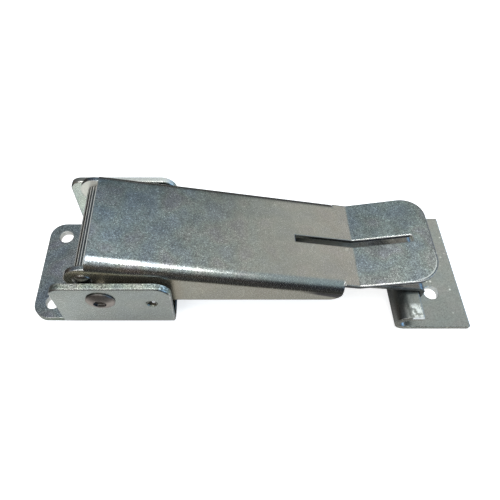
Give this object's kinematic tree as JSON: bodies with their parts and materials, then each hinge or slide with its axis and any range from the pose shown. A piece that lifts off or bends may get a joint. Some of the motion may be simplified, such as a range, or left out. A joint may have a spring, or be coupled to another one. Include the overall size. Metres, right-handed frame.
{
  "type": "over centre toggle latch",
  "caption": "Over centre toggle latch of folded plated sheet: an eared bracket, a long lever with a bent tongue, a hooked strap, and a keeper curled over at one end.",
  "frame": {"origin": "middle of the bracket's four bolt holes, on the face that lies on the panel", "axes": "+X from the bracket to the keeper, +Y across the latch, +Z away from the panel"},
  "size_m": [0.1907, 0.0598, 0.0439],
  "materials": {
    "bracket_zinc": "bright zinc plating, sheared edges speckled",
    "keeper_zinc": "bright zinc plating, dulled by handling",
    "lever_zinc": "bright zinc plating, fine mottle",
    "claw_zinc": "bright zinc plating",
    "pin_steel": "plated steel rivet, darker",
    "screw_steel": "plated steel, brown-grey",
    "ring_steel": "plated steel"
  },
  "bodies": {
    "frame": {"base_bracket": "bracket_zinc", "keeper": "keeper_zinc"},
    "lever_arm": {"lever": "lever_zinc", "link_pin": "pin_steel", "pivot_screw_front": "screw_steel", "pivot_screw_rear": "screw_steel", "pivot_spacer_front": "ring_steel", "pivot_spacer_rear": "ring_steel", "pivot_nut_front": "ring_steel", "pivot_nut_rear": "ring_steel"},
    "claw": {"claw_strap": "claw_zinc"}
  },
  "joints": [
    {"name": "lever_pivot", "type": "hinge", "parent": "frame", "child": "lever_arm", "pos_m": [0.0052, 0, 0.026], "axis": [0, -1, 0], "range_deg": [0, 160]},
    {"name": "claw_pivot", "type": "hinge", "parent": "lever_arm", "child": "claw", "pos_m": [-0.001, 0, 0.0335], "axis": [0, -1, 0], "range_deg": [-128.5, 0]}
  ],
  "couplings": [
    {"joint": "claw_pivot", "follows": "lever_pivot", "ratio": -0.8}
  ]
}
